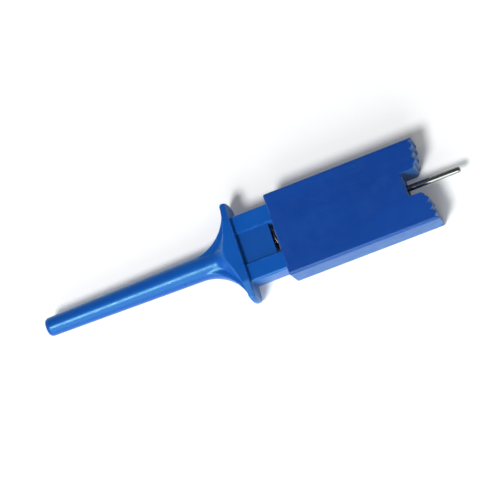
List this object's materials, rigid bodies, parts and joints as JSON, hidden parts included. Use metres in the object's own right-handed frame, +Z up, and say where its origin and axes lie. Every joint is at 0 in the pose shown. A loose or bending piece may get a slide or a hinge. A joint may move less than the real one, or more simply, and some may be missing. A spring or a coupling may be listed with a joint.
{
  "type": "test hook clip",
  "caption": "Slim spring-loaded test hook clip with a hollow nose, finger wings, a sliding thumb cap, inner hook wires that open when pressed, and a rear pin for a plug-on lead.",
  "frame": {"origin": "middle of the object's outer box, on the surface it lies on", "axes": "+X along the clip from the nose tip towards the lead pin, +Y across the finger wings, +Z up through the flat side of the cap"},
  "size_m": [0.0454, 0.0108, 0.004],
  "materials": {
    "housing_plastic": "moulded, semi-gloss",
    "cap_plastic": "moulded, semi-gloss",
    "pin_metal": "tin-plated",
    "crimp_metal": "drawn",
    "hook_metal": "gold-plated wire",
    "spring_metal": "drawn spring wire"
  },
  "bodies": {
    "housing": {"nose_housing": "housing_plastic", "return_spring": "spring_metal"},
    "plunger": {"thumb_cap": "cap_plastic", "contact_pin": "pin_metal", "crimp_sleeve": "crimp_metal", "hook_shank_left": "hook_metal", "hook_shank_right": "hook_metal"},
    "jaw_left": {"hook_jaw_left": "hook_metal"},
    "jaw_right": {"hook_jaw_right": "hook_metal"}
  },
  "joints": [
    {"name": "cap_press", "type": "slide", "parent": "housing", "child": "plunger", "axis": [-1, 0, 0], "range_m": [0, 0.0036], "stiffness_N_per_m": 400, "deforming": ["return_spring"]},
    {"name": "jaw_left_open", "type": "hinge", "parent": "plunger", "child": "jaw_left", "pos_m": [-0.01904, -0.0002, 0.00218], "axis": [0, 0, 1], "range_deg": [0, 10.5]},
    {"name": "jaw_right_open", "type": "hinge", "parent": "plunger", "child": "jaw_right", "pos_m": [-0.01904, 0.0002, 0.00182], "axis": [0, 0, -1], "range_deg": [0, 10.5]}
  ],
  "couplings": [
    {"joint": "jaw_left_open", "follows": "cap_press", "rad_per_m": 50.905},
    {"joint": "jaw_right_open", "follows": "cap_press", "rad_per_m": 50.905}
  ]
}
